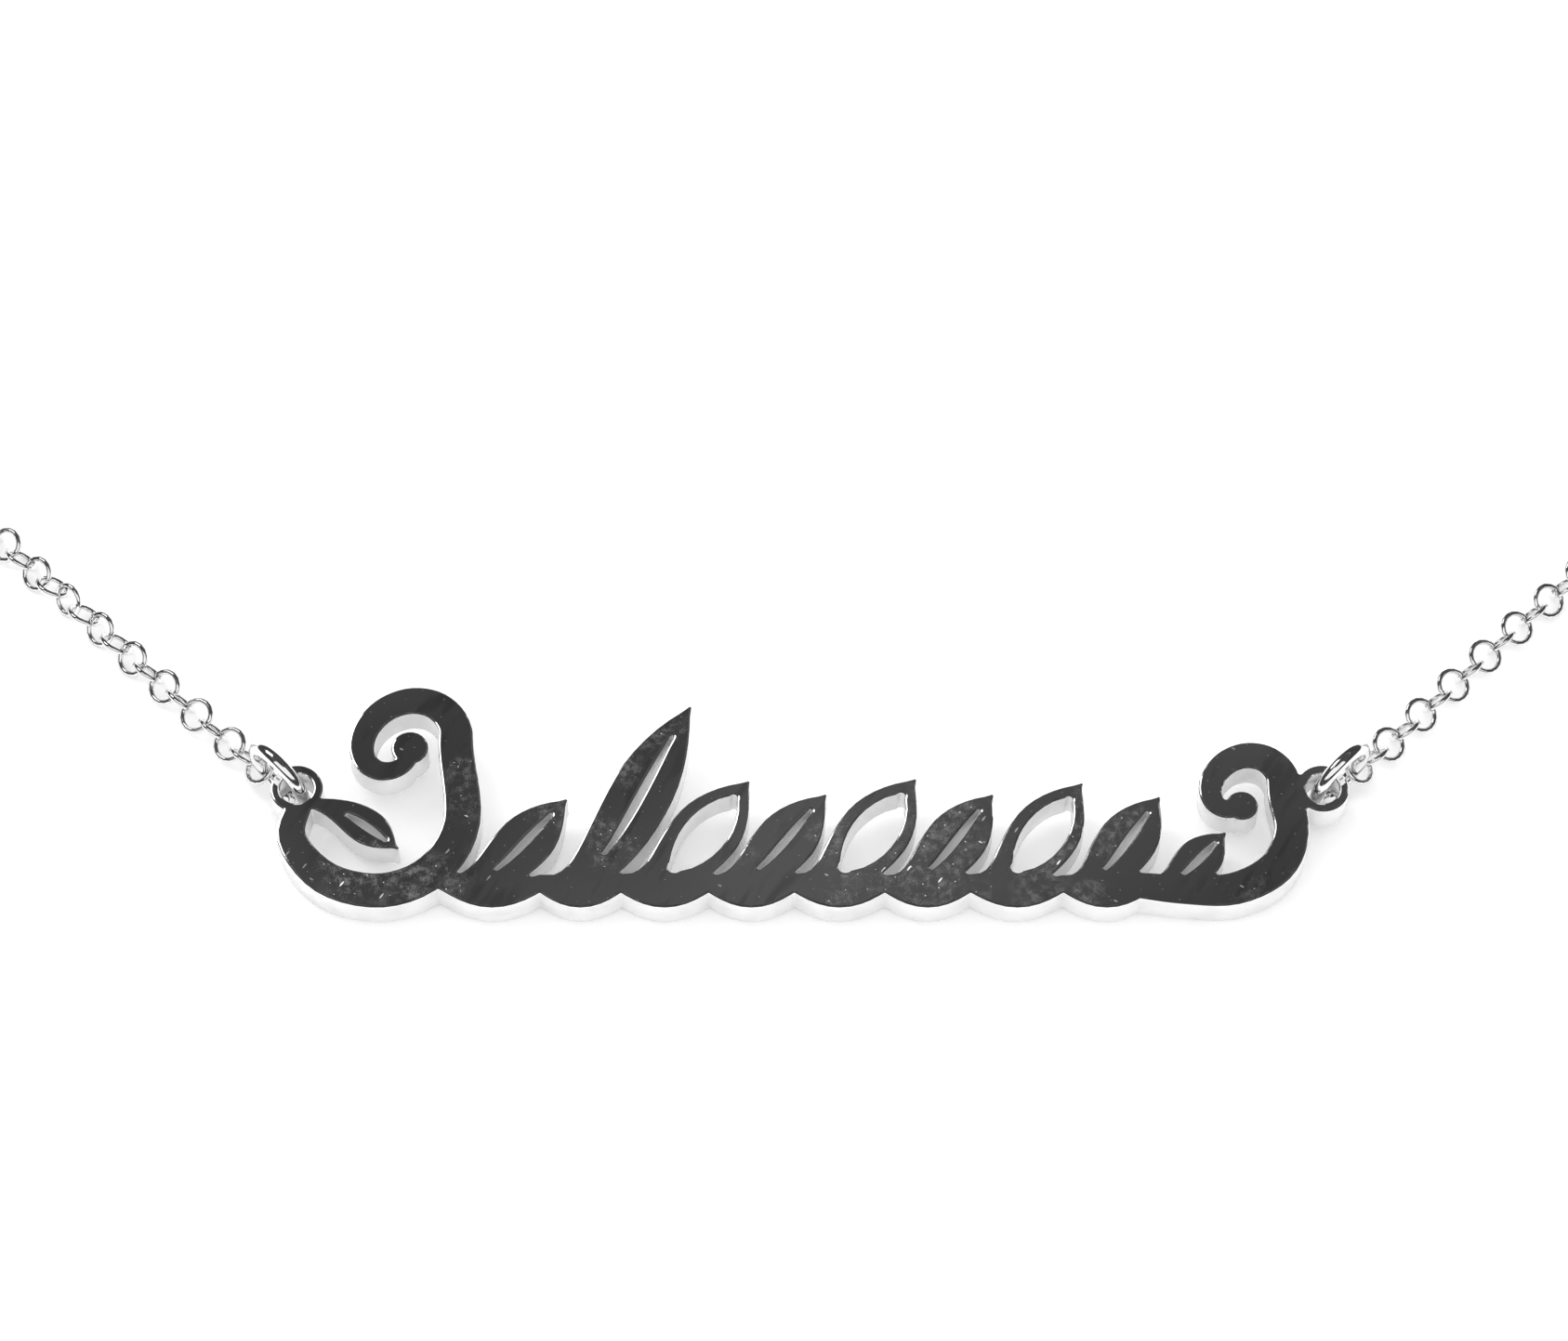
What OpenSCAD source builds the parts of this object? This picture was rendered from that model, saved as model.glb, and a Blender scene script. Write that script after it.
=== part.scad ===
// Nameplate necklace lying on a flat surface: a thick polished plate sawn as a leafy vine scroll,
// an eye at each end of it, a jump ring through each eye, a fine round-link chain laid out in a
// loop, and a plain clasp with its two rings at the back of the loop.
// X runs along the plate, +Y from the plate to the clasp, +Z up from the surface.

/* [Plate] */
// Distance between the middles of the two eyes
eye_span = 46; // [42:0.5:56]
// Height of the tall scroll above the line through the eyes
crest_h = 5.3; // [4.6:0.1:7]
// Depth of the plate below the line through the eyes
drop_h = 6; // [5.4:0.1:7]
// Thickness of the plate
plate_t = 1.5; // [1:0.05:2]

/* [Vine and leaves] */
// Width of the vine where it is thickest
vine_w = 1.6; // [1.3:0.05:1.9]
// Outer radius of the tall scroll's middle line
tall_scroll_r = 2.9; // [2.6:0.05:3.2]
// Outer radius of the low scroll's middle line
low_scroll_r = 2.3; // [2:0.05:2.6]
// How far the low scroll's right edge runs over the rim of the right eye
scroll_lap = 0.334; // [0.25:0.001:0.45]
// Diameter of the berry that ends a scroll or a stalk
berry_d = 1.75; // [1.3:0.05:2.1]
// Width of the widest leaf
leaf_w = 3.2; // [2.5:0.05:3.6]
// Metal left round the opening of an open leaf
slit_rim = 0.62; // [0.5:0.02:0.8]
// Width of the vein that is sawn into each other leaf
vein_w = 0.34; // [0.28:0.02:0.44]
// Width of the swags that join the leaves' roots
swag_w = 1.4; // [1.2:0.05:1.8]
// How far a swag hangs below its two ends
swag_sag = 0.55; // [0.3:0.05:0.7]
// Radius of a leaf's tip
tip_r = 0.09; // [0.06:0.01:0.15]
// Fillet in the notches
notch_r = 0.08; // [0.05:0.01:0.15]

/* [Eyes and jump rings] */
// Metal round the hole of an eye
eye_rim = 0.44; // [0.4:0.02:0.8]
// Wire of a jump ring
ring_wire = 0.65; // [0.5:0.05:0.8]
// What a hole is wider than the wire through it
hole_play = 0.85; // [0.8:0.01:1.1]
// What a jump ring's inside is wider than the metal that it goes round
ring_play = 0.9; // [0.7:0.05:1.1]
// Angle by which a jump ring leans outwards, away from upright
ring_lean = 8; // [4:1:14]
// Gap between a ring and the metal that lies on it
rest_gap = 0.04; // [0.02:0.01:0.08]

/* [Chain] */
// Length all round, over plate, rings, chain and clasp
necklace_length = 420; // [380:5:500]
// Outside diameter of a chain link
link_od = 1.7; // [1.4:0.05:1.9]
// Wire of a chain link
link_wire = 0.26; // [0.2:0.01:0.32]
// Angle of the flatter links to the surface, with the others at right angles to them
link_roll = 32; // [28:1:45]
// Angle between the plate and each chain where it leaves
leave_angle = 46; // [44:1:56]
// Gap between a ring and the end of the chain's tube
chain_gap = 0.12; // [0.1:0.01:0.2]

/* [Clasp] */
// Length of the clasp
clasp_l = 10; // [9:0.5:14]
// Width of the clasp
clasp_w = 4.2; // [3.8:0.1:5]
// Width of the clasp's metal, seen from above
clasp_wall = 0.9; // [0.8:0.05:1.1]
// Thickness of the clasp
clasp_t = 1.2; // [1:0.05:1.5]
// Wire of the two rings at the clasp
end_ring_wire = 0.6; // [0.5:0.05:0.7]
// What a clasp ring's inside is wider than the clasp's metal
end_ring_play = 0.4; // [0.3:0.05:0.6]

/* [Hidden] */
LEFT = -1;
RIGHT = 1;

// Columns of the vine's tables. Along is a share of half the eye span, wide a share of vine_w, and
// up a share of the way down from the eyes to where the vine's edge meets the plate's lower edge.
ALONG = 0;
UP = 1;
WIDE = 2;
LEFT_VINE = [
    [-0.990, -0.11, 0.70], [-1.005, -0.47, 0.84], [-0.935, -0.87, 1.02],
    [-0.825, -1.000, 1.10], [-0.728, -0.80, 1.10], [-0.676, -0.33, 1.06]];
RIGHT_VINE = [
    [0.620, -0.90, 0.80], [0.720, -0.965, 0.94], [0.820, -0.97, 1.02],
    [0.902, -0.77, 1.04], [0.936, -0.42, 1.00]];

// Columns of the leaves' table: the root's place along the swags, the tip's share along and its
// share up, of crest_h above the eyes and of drop_h below them, the width as a share of leaf_w, and
// how the leaf is cut.
ROOT = 0;
TIP_ALONG = 1;
TIP_UP = 2;
LEAF_WIDE = 3;
CUT = 4;
OPEN = 0;
VEINED = 1;
LEAVES = [
    [-0.705, -0.475, -0.10, 0.82, VEINED],
    [-0.520, -0.235,  0.78, 0.92, VEINED],
    [-0.365, -0.120,  0.06, 1.00, OPEN],
    [-0.195,  0.030, -0.06, 0.86, VEINED],
    [-0.030,  0.205,  0.08, 1.02, OPEN],
    [ 0.145,  0.355, -0.06, 0.86, VEINED],
    [ 0.310,  0.530,  0.04, 0.98, OPEN],
    [ 0.490,  0.680, -0.08, 0.84, VEINED],
    [ 0.655,  0.805, -0.38, 0.64, VEINED]];
// One more leaf grows from the vine below the left eye.
EYE_LEAF_FROM = [-0.975, -0.12];
EYE_LEAF_TO = [-0.800, -0.50];
EYE_LEAF_WIDE = 0.55;

// Middle of the tall scroll, how high the low one's is, and the angles that they turn through
TALL_SCROLL = [-0.805, 0.40];
LOW_SCROLL_UP = -0.03;
SCROLL_FROM = -5;
TALL_SCROLL_TO = 355;
LOW_SCROLL_TO = 290;
SCROLL_STEP = 30;
// Radius at each scroll's inner end as a share of its outer radius, how late it closes, and the
// vine's width there
TALL_CLOSE = 0.20;
LOW_CLOSE = 0.32;
SCROLL_LATE = 1.1;
SCROLL_END_W = 0.46;
// Diameters of the two scrolls' berries as shares of berry_d
TALL_BERRY = 0.96;
LOW_BERRY = 0.84;
// How far the scrolls lean to the right, and how narrow they are for their height
LEAN = 0.16;
SQUEEZE = 0.92;
// Where a leaf is widest, where its slit begins, and how long the slit is, as shares of its length
LEAF_BELLY = 0.58;
LEAF_ROOT_W = 0.30;
SLIT_FROM = 0.30;
SLIT_LENGTH = 0.55;
// How slowly a leaf swells to its belly, narrows to its tip, and how bluntly its slit ends
LEAF_SWELL = 1.3;
LEAF_TAPER = 1.1;
SLIT_BLUNT = 0.7;
// Two points that a leaf's middle line bends towards, as shares of the way from root to tip,
// and how closely its points crowd towards the tip
RIB_TURN = [0.42, -0.10];
RIB_CLIMB = [0.62, 0.50];
RIB_CROWD = 1.25;
// Width of a swag at its ends as a share of swag_w
SWAG_END_W = 0.6;

CURVE_STEPS = 5;
LEAF_STEPS = 18;
SWAG_STEPS = 10;
CAP_FN = 22;
ROUND_FN = 96;
WIRE_FN = 32;
// How far a cutting tool runs past the surface that it cuts
CUT_PAST = 1;
// How far the jump ring's strand stands off the middle of the eye, as a share of hole_play
RING_INSET = 0.37;

// Rings and holes follow the wire and the metal that they hold.
eye_hole_d = ring_wire + hole_play;
eye_od = eye_hole_d + 2 * eye_rim;
ring_id = norm([eye_rim, plate_t]) + ring_play;
ring_od = ring_id + 2 * ring_wire;
// The low scroll stays joined to the right eye, so its middle is measured from there.
low_scroll_x = eye_span / 2 - eye_od / 2 + scroll_lap - low_scroll_r * SQUEEZE - vine_w / 2;
clasp_hole_d = end_ring_wire + hole_play;
clasp_eye_od = clasp_hole_d + 2 * clasp_wall;
end_ring_id = norm([clasp_wall, clasp_t]) + end_ring_play;
end_ring_od = end_ring_id + 2 * end_ring_wire;

// How high flat metal lies on the inside of a ring's lower strand, if it reaches so far from the
// ring's middle line
function seat_height(id, wire, reach) = id / 2 + wire - sqrt((id / 2) ^ 2 - reach ^ 2) + rest_gap;

// A jump ring's upright strand passes through its eye, and its lower strand under the eye's rim.
ring_reach = (ring_id + ring_wire) / 2 - RING_INSET * hole_play;
rim_reach = max(ring_reach - eye_hole_d / 2, eye_od / 2 - ring_reach);

// The plate lies on its lower edge and on the two jump rings that pass under its eyes.
plate_rise = seat_height(ring_id, ring_wire, rim_reach);
plate_tilt = asin(plate_rise / drop_h);
eye_y = -plate_t / 2 * sin(plate_tilt);

// The flatter links make the chain's width and the steeper ones its height, and the two are the same.
chain_d = (link_od - link_wire) * cos(link_roll) + link_wire;

// Each side of the loop is a straight run that meets one big arc round the middle.
leave = [cos(leave_angle), sin(leave_angle)];
chain_start = [eye_span / 2, eye_y] + (ring_reach + ring_od / 2 + chain_gap) * leave;
side_l = necklace_length / 2 - norm(chain_start - [eye_span / 2, eye_y]) - eye_span / 2;
loop_r = (side_l + chain_start[0] / leave[0]) / (tan(leave_angle) + PI * (1 - leave_angle / 180));
run_l = (loop_r * leave[1] - chain_start[0]) / leave[0];
loop_y = chain_start[1] + run_l * leave[1] + loop_r * leave[0];
clasp_half = clasp_l / 2 - clasp_wall / 2;
chain_end_x = clasp_half + end_ring_od / 2 + chain_gap;
arc_angle = 180 - leave_angle - asin(chain_end_x / loop_r);
chain_l = run_l + loop_r * arc_angle * PI / 180;
clasp_y = loop_y + sqrt(loop_r ^ 2 - chain_end_x ^ 2);

// The middle of the whole necklace's length and width is the origin.
front_y = -drop_h * cos(plate_tilt) - plate_t * sin(plate_tilt);
back_y = clasp_y + max(clasp_w, chain_d) / 2;
middle_y = (front_y + back_y) / 2;

TUBE_SIDES = 8;
TUBE_RINGS = 38;

// A place on the plate from its shares
function on_plate(along, up) = [along * eye_span / 2, up * (up > 0 ? crest_h : drop_h)];

// Rows of a vine's table as places and widths
function placed(rows) =
    [for (row = rows)
        [row[ALONG] * eye_span / 2, row[UP] * (drop_h - row[WIDE] * vine_w / 2), row[WIDE] * vine_w]];

// One place on a smooth line between b and c, with a before them and d after them
function between(a, b, c, d, t) =
    (2 * b + (c - a) * t + (2 * a - 5 * b + 4 * c - d) * t ^ 2 + (3 * b - a - 3 * c + d) * t ^ 3) / 2;

// A smooth line through all rows
function smooth(rows) =
    let (last = len(rows) - 1,
         all = concat([2 * rows[0] - rows[1]], rows, [2 * rows[last] - rows[last - 1]]))
    concat([for (i = [0 : last - 1], k = [0 : CURVE_STEPS - 1])
                between(all[i], all[i + 1], all[i + 2], all[i + 3], k / CURVE_STEPS)],
           [rows[last]]);

// The line's left or right edge, half a width away
function edge(line, side) =
    [for (i = [0 : len(line) - 1])
        let (a = line[max(i - 1, 0)], b = line[min(i + 1, len(line) - 1)],
             along = [b[ALONG] - a[ALONG], b[UP] - a[UP]])
        [line[i][ALONG], line[i][UP]]
            + side * line[i][WIDE] / 2 * [-along[1], along[0]] / norm(along)];

function backwards(list) = [for (i = [len(list) - 1 : -1 : 0]) list[i]];

// A scroll turns inwards about its middle while the vine grows thinner.
function scroll(middle, r, to, close) =
    let (steps = ceil((to - SCROLL_FROM) / SCROLL_STEP))
    [for (k = [0 : steps])
        let (t = k / steps, a = SCROLL_FROM + (to - SCROLL_FROM) * t,
             now = r * (1 + (close - 1) * t ^ SCROLL_LATE), y = now * sin(a))
        [middle[0] + now * cos(a) * SQUEEZE + LEAN * y, middle[1] + y,
         vine_w * (1 + (SCROLL_END_W - 1) * t)]];

// A leaf's middle line leaves the stem along it, turns up and ends at the slanted tip.
function midrib(root, tip) =
    let (way = tip - root,
         turn = root + [RIB_TURN[0] * way[0], RIB_TURN[1] * abs(way[1])],
         climb = root + [RIB_CLIMB[0] * way[0], RIB_CLIMB[1] * way[1]])
    [for (k = [0 : LEAF_STEPS])
        let (t = 1 - (1 - k / LEAF_STEPS) ^ RIB_CROWD)
        (1 - t) ^ 3 * root + 3 * (1 - t) ^ 2 * t * turn + 3 * (1 - t) * t ^ 2 * climb + t ^ 3 * tip];

// Width of a leaf at a share of its length, as a share of its own width
function leaf_width(t) =
    t < LEAF_BELLY ? LEAF_ROOT_W + (1 - LEAF_ROOT_W) * sin(90 * t / LEAF_BELLY) ^ LEAF_SWELL
                   : cos(90 * (t - LEAF_BELLY) / (1 - LEAF_BELLY)) ^ LEAF_TAPER;

// Root of a leaf in the table: the swags hang from the roots down to the plate's lower edge
function root_of(row) = [row[ROOT] * eye_span / 2, swag_sag + swag_w / 2 - drop_h];

// A band of varying width with round ends
module band(line) {
    polygon(concat(edge(line, 1), backwards(edge(line, -1))));
    for (end = [line[0], line[len(line) - 1]])
        translate([end[ALONG], end[UP]]) circle(d = end[WIDE], $fn = CAP_FN);
}

module berry(place, share) {
    translate([place[ALONG], place[UP]]) circle(d = berry_d * share, $fn = CAP_FN);
}

module leaf(root, tip, wide, cut) {
    rib = midrib(root, tip);
    last = len(rib) - 1;
    difference() {
        band([for (i = [0 : last]) concat(rib[i], max(2 * tip_r, wide * leaf_width(i / last)))]);
        band([for (i = [0 : last])
            let (t = (i / last - SLIT_FROM) / SLIT_LENGTH, belly = cut == OPEN ? wide - 2 * slit_rim : vein_w)
            if (t >= 0 && t <= 1) concat(rib[i], max(2 * notch_r, belly * sin(180 * t) ^ SLIT_BLUNT))]);
    }
}

// A swag hangs between the roots of two neighbouring leaves.
module swag(a, b) {
    band([for (k = [0 : SWAG_STEPS])
        let (t = k / SWAG_STEPS, low = sin(180 * t))
        concat(a + t * (b - a) - [0, swag_sag * low], swag_w * (SWAG_END_W + (1 - SWAG_END_W) * low))]);
}

// A stretch of vine that ends in a scroll round a berry
module scrolled_vine(rows, middle, r, to, close, berry_share) {
    line = concat(placed(rows), scroll(middle, r, to, close));
    band(smooth(line));
    berry(line[len(line) - 1], berry_share);
}

module ornament() {
    offset(r = -notch_r, $fn = CAP_FN) offset(delta = notch_r) {
        for (side = [LEFT, RIGHT])
            translate([side * eye_span / 2, 0]) circle(d = eye_od, $fn = 2 * CAP_FN);
        scrolled_vine(LEFT_VINE, on_plate(TALL_SCROLL[0], TALL_SCROLL[1]), tall_scroll_r,
                      TALL_SCROLL_TO, TALL_CLOSE, TALL_BERRY);
        scrolled_vine(RIGHT_VINE, [low_scroll_x, on_plate(0, LOW_SCROLL_UP)[1]], low_scroll_r,
                      LOW_SCROLL_TO, LOW_CLOSE, LOW_BERRY);
        for (row = LEAVES)
            leaf(root_of(row), on_plate(row[TIP_ALONG], row[TIP_UP]), row[LEAF_WIDE] * leaf_w, row[CUT]);
        for (i = [0 : len(LEAVES) - 2]) swag(root_of(LEAVES[i]), root_of(LEAVES[i + 1]));
        leaf(on_plate(EYE_LEAF_FROM[0], EYE_LEAF_FROM[1]), on_plate(EYE_LEAF_TO[0], EYE_LEAF_TO[1]),
             EYE_LEAF_WIDE * leaf_w, VEINED);
    }
}

// Puts what is drawn with the eyes' line on X and the surface at z = 0 in the necklace's place
module laid() {
    translate([0, -middle_y, 0]) children();
}

module nameplate() {
    color("silver") laid() translate([0, 0, plate_rise]) rotate([plate_tilt, 0, 0])
        difference() {
            linear_extrude(plate_t) ornament();
            for (side = [LEFT, RIGHT])
                translate([side * eye_span / 2, 0, -CUT_PAST])
                    cylinder(d = eye_hole_d, h = plate_t + 2 * CUT_PAST, $fn = ROUND_FN);
        }
}

// A round wire ring on the surface, its plane at an angle to X and leaning from upright
module standing_ring(middle, angle, lean, od, wire) {
    translate([middle[0], middle[1], (od - wire) / 2 * cos(lean) + wire / 2]) rotate([90 + lean, 0, angle])
        rotate_extrude($fn = ROUND_FN) translate([(od - wire) / 2, 0]) circle(d = wire, $fn = WIRE_FN);
}

module jump_ring(side) {
    middle = [eye_span / 2, eye_y] + ring_reach * leave;
    color("gainsboro") laid()
        standing_ring([side * middle[0], middle[1]], side * leave_angle, ring_lean, ring_od, ring_wire);
}

// Place and heading on the right side's middle line, at a length from its start
function on_chain(l) =
    l < run_l ? [chain_start + l * leave, leave_angle]
              : let (turned = (l - run_l) / loop_r * 180 / PI, a = leave_angle + turned)
                [[0, loop_y] + loop_r * [sin(a), -cos(a)], a];

// Corners of the tube's cross-section at one place, flat side down
function tube_ring(side, place, heading) =
    [for (k = [0 : TUBE_SIDES - 1])
        let (a = (k + 0.5) * 360 / TUBE_SIDES, r = chain_d / 2 / cos(180 / TUBE_SIDES))
        [side * (place[0] + r * cos(a) * sin(heading)), place[1] - r * cos(a) * cos(heading),
         chain_d / 2 + r * sin(a)]];

// The space that one side's links take up, swept along the side's middle line
module chain(side) {
    corners = [for (i = [0 : TUBE_RINGS - 1])
        let (at = on_chain(chain_l * i / (TUBE_RINGS - 1)))
        each tube_ring(side, at[0], at[1])];
    start = [for (k = [0 : TUBE_SIDES - 1]) k];
    finish = [for (k = [0 : TUBE_SIDES - 1]) TUBE_SIDES * TUBE_RINGS - 1 - k];
    walls = [for (i = [0 : TUBE_RINGS - 2], k = [0 : TUBE_SIDES - 1])
        let (a = i * TUBE_SIDES + k, b = i * TUBE_SIDES + (k + 1) % TUBE_SIDES)
        [a, a + TUBE_SIDES, b + TUBE_SIDES, b]];
    faces = concat([start, finish], walls);
    color("lightgray") laid()
        polyhedron(points = corners, faces = side == RIGHT ? faces : [for (f = faces) backwards(f)]);
}

// Plain closed oval with an eye at its left end
module clasp() {
    eye_x = -clasp_l / 2 + clasp_eye_od / 2;
    oval_x = [eye_x + clasp_eye_od / 2 + clasp_w / 2 - clasp_wall, clasp_l / 2 - clasp_w / 2];
    color("silver") laid() translate([0, clasp_y, seat_height(end_ring_id, end_ring_wire, clasp_wall / 2)])
        difference() {
            linear_extrude(clasp_t) {
                translate([eye_x, 0]) circle(d = clasp_eye_od, $fn = ROUND_FN);
                oval(oval_x, clasp_w);
            }
            translate([eye_x, 0, -CUT_PAST])
                cylinder(d = clasp_hole_d, h = clasp_t + 2 * CUT_PAST, $fn = ROUND_FN);
            translate([0, 0, -CUT_PAST])
                linear_extrude(clasp_t + 2 * CUT_PAST) oval(oval_x, clasp_w - 2 * clasp_wall);
        }
}

module oval(ends, wide) {
    for (x = ends) translate([x, 0]) circle(d = wide, $fn = ROUND_FN);
    translate([ends[0], -wide / 2]) square([ends[1] - ends[0], wide]);
}

module clasp_ring(side) {
    color("gainsboro") laid()
        standing_ring([side * clasp_half, clasp_y], 0, 0, end_ring_od, end_ring_wire);
}

nameplate();
jump_ring(LEFT);  // jump_ring_left
jump_ring(RIGHT);  // jump_ring_right
chain(LEFT);  // chain_left
chain(RIGHT);  // chain_right
clasp();
clasp_ring(LEFT);  // clasp_ring_left
clasp_ring(RIGHT);  // clasp_ring_right
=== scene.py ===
"""Looks of a plate necklace laid out in a loop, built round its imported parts.

Sizes are in millimetres, as in the part's source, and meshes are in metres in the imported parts' frame:
X along the plate, +Y from the plate to the clasp, +Z up from the surface.
"""

import logging
import math
import random
from dataclasses import dataclass
from enum import Enum
from typing import List, Mapping, Optional, Sequence, Tuple, Union

import bmesh
import bpy
from mathutils import Matrix, Vector


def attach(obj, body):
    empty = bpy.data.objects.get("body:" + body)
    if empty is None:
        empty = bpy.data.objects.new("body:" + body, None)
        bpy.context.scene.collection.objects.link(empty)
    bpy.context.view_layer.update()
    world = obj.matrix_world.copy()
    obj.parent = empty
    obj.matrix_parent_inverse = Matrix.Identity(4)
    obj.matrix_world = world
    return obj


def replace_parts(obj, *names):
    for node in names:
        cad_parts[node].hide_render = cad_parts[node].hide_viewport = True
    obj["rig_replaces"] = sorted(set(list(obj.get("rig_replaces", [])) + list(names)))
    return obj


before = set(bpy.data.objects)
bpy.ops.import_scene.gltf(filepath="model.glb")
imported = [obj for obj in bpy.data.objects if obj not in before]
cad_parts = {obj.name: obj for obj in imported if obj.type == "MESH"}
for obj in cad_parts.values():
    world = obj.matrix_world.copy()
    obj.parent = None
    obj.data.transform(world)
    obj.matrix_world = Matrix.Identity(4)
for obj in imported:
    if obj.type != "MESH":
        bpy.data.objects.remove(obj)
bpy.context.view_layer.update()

MM = 0.001
MERGE_DIST = 0.012
WELD_DIST = 0.0005
FLAT_ANGLE = math.radians(0.3)
BUTT_ROUND = 0.07
# Shares of a face's normal that run along a body's way up
LEVEL = 0.999
NEAR_LEVEL = 0.9
UPRIGHT = 0.05
LOG = logging.getLogger("necklace")

Number = Union[float, "Term"]
Colour = Tuple[float, float, float, float]


class Side(Enum):
    """The two sides of the necklace, with the sign of X that each has."""

    LEFT = -1
    RIGHT = 1

    @property
    def word(self) -> str:
        """The side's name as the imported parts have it."""
        return self.name.lower()


def grey(level: float) -> Colour:
    """An even grey of a linear level."""
    return (level, level, level, 1.0)


# Shader maths


class Term:
    """A value in a shader. An expression on terms adds its Math nodes."""

    def __init__(self, shader: "Shader", socket: bpy.types.NodeSocket) -> None:
        """Wraps a socket of a shader."""
        self.shader = shader
        self.socket = socket

    def _math(self, operation: str, first: Number, second: Number = 0.0) -> "Term":
        """One Math node on two values.

        Args:
            operation: The node's operation.
            first: Its first value.
            second: Its second value.

        Returns:
            The node's result.
        """
        return self.shader.node("ShaderNodeMath", {"operation": operation}, {0: first, 1: second})

    def __add__(self, other: Number) -> "Term":
        """Sum of two values."""
        return self._math("ADD", self, other)

    def __radd__(self, other: Number) -> "Term":
        """Sum with the term on the right."""
        return self._math("ADD", other, self)

    def __sub__(self, other: Number) -> "Term":
        """Difference of two values."""
        return self._math("SUBTRACT", self, other)

    def __rsub__(self, other: Number) -> "Term":
        """Difference with the term on the right."""
        return self._math("SUBTRACT", other, self)

    def __mul__(self, other: Number) -> "Term":
        """Product of two values."""
        return self._math("MULTIPLY", self, other)

    def __rmul__(self, other: Number) -> "Term":
        """Product with the term on the right."""
        return self._math("MULTIPLY", other, self)

    def __gt__(self, other: Number) -> "Term":
        """1 where the term is the greater, else 0."""
        return self._math("GREATER_THAN", self, other)

    def step(self, low: float, high: float) -> "Term":
        """Smooth step of the term.

        Args:
            low: Value at which the result is 0.
            high: Value at which the result is 1.

        Returns:
            The share, which runs the other way where low is above high.
        """
        ends = {"Value": self, "From Min": low, "From Max": high, "To Min": 0.0, "To Max": 1.0}
        if low > high:
            ends.update({"From Min": high, "From Max": low, "To Min": 1.0, "To Max": 0.0})
        return self.shader.node("ShaderNodeMapRange", {"interpolation_type": "SMOOTHSTEP"}, ends)


class Shader:
    """A node tree that is being filled, of a material or of the world."""

    def __init__(self, tree: bpy.types.NodeTree) -> None:
        """Takes a tree and empties it."""
        self.tree = tree
        tree.nodes.clear()

    def node(
        self,
        kind: str,
        settings: Optional[Mapping[str, object]] = None,
        sockets: Optional[Mapping[Union[int, str], object]] = None,
        out: Union[int, str] = 0,
    ) -> Term:
        """Adds any node.

        Args:
            kind: The node's type.
            settings: What is set on the node first, such as its operation.
            sockets: Values and terms for its inputs.
            out: The output that is wanted.

        Returns:
            That output.
        """
        made = self.tree.nodes.new(kind)
        for name, value in (settings or {}).items():
            setattr(made, name, value)
        for name, value in (sockets or {}).items():
            if isinstance(value, Term):
                self.tree.links.new(value.socket, made.inputs[name])
            else:
                made.inputs[name].default_value = value
        return Term(self, made.outputs[out] if made.outputs else made.inputs[0])

    def blend(self, share: Number, first: Union[Colour, Term], second: Union[Colour, Term]) -> Term:
        """Mix of two colours.

        Args:
            share: Share of the second colour.
            first: First colour.
            second: Second colour.

        Returns:
            The mixed colour.
        """
        return self.node("ShaderNodeMix", {"data_type": "RGBA"}, {0: share, 6: first, 7: second}, out=2)

    def noise(self, place: Term, grain: float, detail: float = 2.0, roughness: float = 0.5) -> Term:
        """Soft random value.

        Args:
            place: Where it is read, in metres.
            grain: Size of its features in millimetres.
            detail: Octaves.
            roughness: Weight of the finer octaves.

        Returns:
            The value, around 0.5.
        """
        sockets = {"Vector": place, "Scale": 1 / (grain * MM), "Detail": detail, "Roughness": roughness}
        return self.node("ShaderNodeTexNoise", {}, sockets)


def new_material(name: str) -> Tuple[bpy.types.Material, Shader]:
    """A named material with an empty node tree.

    Args:
        name: The material's name.

    Returns:
        The material, and its tree to fill.
    """
    material = bpy.data.materials.new(name)
    material.use_nodes = True
    return material, Shader(material.node_tree)


# Sizes


@dataclass(frozen=True)
class Ring:
    """A round wire ring that stands on the surface."""

    inside: float
    wire: float

    @property
    def outside(self) -> float:
        """Outer diameter."""
        return self.inside + 2 * self.wire

    @property
    def middle(self) -> float:
        """Radius of the wire's own middle line."""
        return (self.inside + self.wire) / 2


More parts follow.
